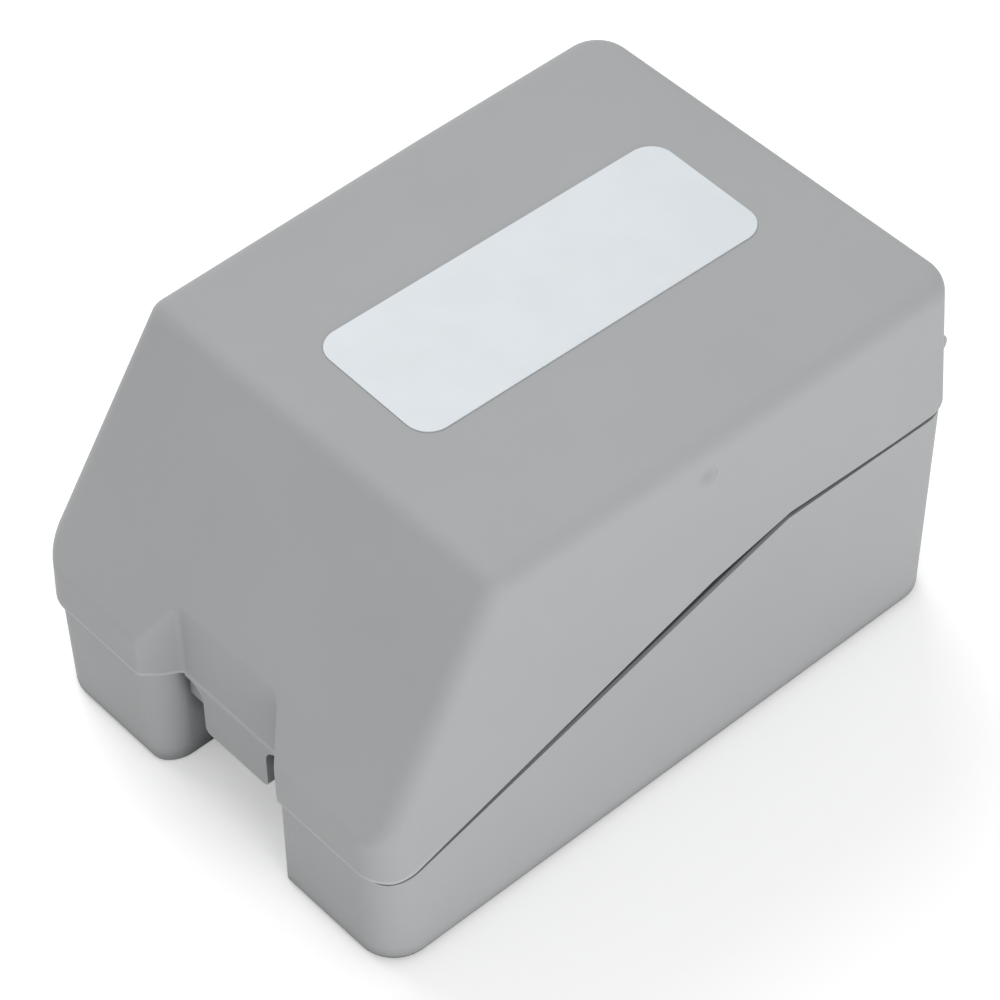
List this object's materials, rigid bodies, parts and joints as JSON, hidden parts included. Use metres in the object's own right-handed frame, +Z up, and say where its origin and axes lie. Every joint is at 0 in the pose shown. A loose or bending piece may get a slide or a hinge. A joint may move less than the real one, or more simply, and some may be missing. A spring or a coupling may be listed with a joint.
{
  "type": "fibre cleaver in hard case",
  "caption": "Optical fibre cleaver with a sliding blade carriage and hinged clamp arm, seated in a moulded hard case with a hinged lid, sloped front and latch tab.",
  "frame": {"origin": "under the middle of the case, on the face that it stands on", "axes": "+X to the case's right, -Y to its front with the latch, +Y to its hinge, +Z up"},
  "size_m": [0.0904, 0.1373, 0.0753],
  "materials": {
    "case_shell": "moulded, fine matt texture",
    "label_face": "blank white polyester film",
    "steel_pin": "ground",
    "tray": "vacuum formed",
    "rubber_black": "moulded",
    "plate_dark": "black anodised",
    "body_dark": "bead blasted, black anodised",
    "steel_screw": "zinc plated",
    "magnet": "nickel plated",
    "rail_steel": "ground",
    "carriage_alu": "clear anodised, milled",
    "knob_plastic": "moulded",
    "blade_carbide": "ground tungsten carbide",
    "holder_steel": "stamped",
    "arm_dark": "fine textured powder coat",
    "lever_alu": "red anodised",
    "guide_alu": "clear anodised",
    "bin_plastic": "moulded",
    "cover_plastic": "clear moulded polycarbonate"
  },
  "bodies": {
    "case": {"case_base": "case_shell", "hinge_pin": "steel_pin", "cradle": "tray", "cleaver_feet": "rubber_black", "bottom_plate": "plate_dark", "bottom_screws": "steel_screw", "cleaver_body": "body_dark", "body_magnets": "magnet", "guide_rail": "rail_steel", "rail_screws": "steel_screw", "lower_pad_holders": "holder_steel", "lower_clamp_pads": "rubber_black", "holder_screws": "steel_screw", "arm_pin": "steel_pin", "arm_spring": "steel_pin", "fibre_guide": "guide_alu", "guide_screws": "steel_screw", "flap_pin": "steel_pin", "scrap_bin": "bin_plastic", "bin_pin": "steel_pin"},
    "lid": {"case_lid": "case_shell", "label_plate": "label_face"},
    "blade_carriage": {"carriage": "carriage_alu", "carriage_knob": "knob_plastic", "blade_axle": "steel_pin", "blade_lock_screw": "steel_screw", "height_screw": "steel_screw"},
    "wheel": {"blade_wheel": "blade_carbide"},
    "arm": {"clamp_arm": "arm_dark", "arm_magnets": "magnet", "upper_clamp_pads": "rubber_black", "anvil_pin": "steel_pin"},
    "anvil": {"anvil_lever": "lever_alu", "anvil_tip": "rubber_black"},
    "flap": {"guide_flap": "arm_dark"},
    "cover": {"bin_cover": "cover_plastic"}
  },
  "joints": [
    {"name": "lid_hinge", "type": "hinge", "parent": "case", "child": "lid", "pos_m": [0, 0.0698, 0.0479], "axis": [-1, 0, 0], "range_deg": [0, 110]},
    {"name": "carriage_slide", "type": "slide", "parent": "case", "child": "blade_carriage", "axis": [1, 0, 0], "range_m": [0, 0.024]},
    {"name": "blade_turn", "type": "hinge", "parent": "blade_carriage", "child": "wheel", "pos_m": [-0.01799, 0.01404, 0.0258], "axis": [0, 1, 0], "continuous": true},
    {"name": "clamp_arm_hinge", "type": "hinge", "parent": "case", "child": "arm", "pos_m": [0.02599, 0.01404, 0.0378], "axis": [0, 1, 0], "range_deg": [0, 45]},
    {"name": "anvil_press", "type": "hinge", "parent": "arm", "child": "anvil", "pos_m": [0.01299, 0.01404, 0.0414], "axis": [0, -1, 0], "range_deg": [0, 2.5], "stiffness_Nm_per_rad": 0.05, "springref_deg": -5.73},
    {"name": "guide_flap_hinge", "type": "hinge", "parent": "case", "child": "flap", "pos_m": [0.00859, 0.04104, 0.0385], "axis": [0, 1, 0], "range_deg": [0, 95]},
    {"name": "bin_cover_hinge", "type": "hinge", "parent": "case", "child": "cover", "pos_m": [0, -0.0454, 0.02965], "axis": [1, 0, 0], "range_deg": [0, 90]}
  ]
}
